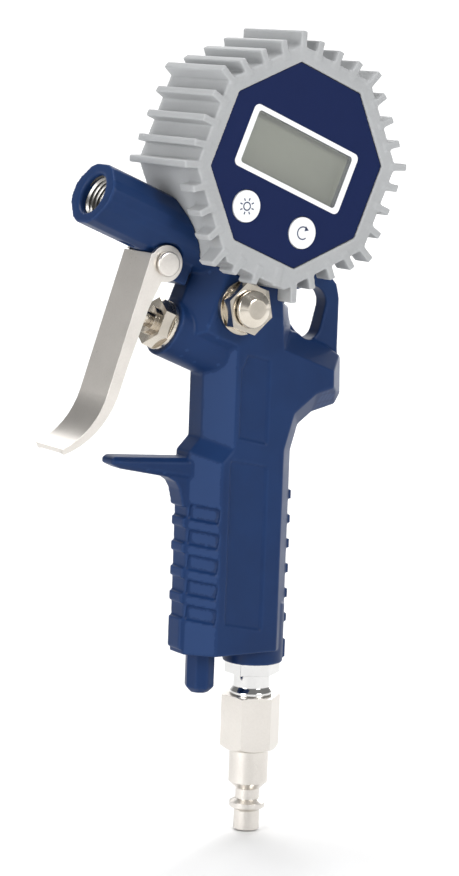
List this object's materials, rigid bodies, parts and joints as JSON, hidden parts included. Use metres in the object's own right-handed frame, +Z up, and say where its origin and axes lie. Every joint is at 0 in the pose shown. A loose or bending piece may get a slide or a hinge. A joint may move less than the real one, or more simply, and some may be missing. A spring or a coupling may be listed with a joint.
{
  "type": "tyre inflator with gauge",
  "caption": "Pistol-grip tyre inflator with squeeze lever, bleed button, air inlet plug, threaded outlet and a booted digital pressure gauge.",
  "frame": {"origin": "centre of the air plug's nose end", "axes": "+Z up along the air plug, the inlet and the grip; -X towards the lever and the outlet; -Y towards the side the gauge faces"},
  "size_m": [0.1164, 0.0373, 0.2656],
  "materials": {
    "cast_navy": "satin cast paint",
    "nickel_satin": "satin nickel plate",
    "nickel_bright": "bright nickel plate",
    "chrome": "bright chrome",
    "spring_steel": "drawn steel",
    "brass": "turned brass",
    "black_rubber": "matt",
    "grey_rubber": "matt moulded",
    "case_plastic": "fine matt",
    "black_plastic": "matt",
    "overlay_navy": "satin gloss film",
    "white_gloss": "satin gloss",
    "lcd_glass": "blank reflective display",
    "clear_window": "clear",
    "cell_jacket": "printed film",
    "board_green": "solder mask"
  },
  "bodies": {
    "root": {"body_casting": "cast_navy", "trigger_pin": "nickel_satin", "trigger_pin_clip": "spring_steel", "valve_gland_nut": "nickel_bright", "gland_oring": "black_rubber", "valve_seat": "brass", "valve_spring": "spring_steel", "bleed_nut": "nickel_bright", "bleed_spring": "spring_steel", "gauge_boot": "grey_rubber", "front_housing": "case_plastic", "rear_housing": "case_plastic", "housing_gasket": "black_rubber", "housing_screws": "spring_steel", "battery_door": "case_plastic", "battery_door_screw": "spring_steel", "batteries": "cell_jacket", "battery_contacts": "nickel_bright", "circuit_board": "board_green", "key_switches": "black_plastic", "lcd_connector": "grey_rubber", "lcd_panel": "lcd_glass", "lcd_window": "clear_window", "lcd_frame": "white_gloss", "front_overlay": "overlay_navy", "pressure_sensor": "nickel_bright", "gauge_stem": "brass", "stem_seal": "black_rubber", "inlet_fitting": "chrome", "inlet_screen": "spring_steel", "air_plug": "nickel_satin"},
    "trigger": {"trigger_lever": "nickel_satin"},
    "valve": {"valve_stem": "nickel_bright", "valve_seal": "black_rubber"},
    "bleed": {"bleed_button": "chrome", "bleed_seal": "black_rubber"},
    "light_key": {"light_button": "white_gloss"},
    "unit_key": {"unit_button": "white_gloss"}
  },
  "joints": [
    {"name": "trigger_pivot", "type": "hinge", "parent": "root", "child": "trigger", "pos_m": [-0.04393, 0, 0.19098], "axis": [0, -1, 0], "range_deg": [0, 12], "stiffness_Nm_per_rad": 0.6, "springref_deg": -8.59},
    {"name": "valve_slide", "type": "slide", "parent": "root", "child": "valve", "axis": [0.9239, 0, -0.3827], "range_m": [0, 0.00395], "deforming": ["valve_spring"]},
    {"name": "bleed_slide", "type": "slide", "parent": "root", "child": "bleed", "axis": [0, 1, 0], "range_m": [0, 0.002], "stiffness_N_per_m": 400, "springref_m": -0.001, "deforming": ["bleed_spring"]},
    {"name": "light_button_slide", "type": "slide", "parent": "root", "child": "light_key", "axis": [0, 1, 0], "range_m": [0, 0.0005], "stiffness_N_per_m": 300, "springref_m": -0.0003},
    {"name": "unit_button_slide", "type": "slide", "parent": "root", "child": "unit_key", "axis": [0, 1, 0], "range_m": [0, 0.0005], "stiffness_N_per_m": 300, "springref_m": -0.0003}
  ],
  "couplings": [
    {"joint": "valve_slide", "follows": "trigger_pivot", "m_per_rad": 0.0179}
  ]
}
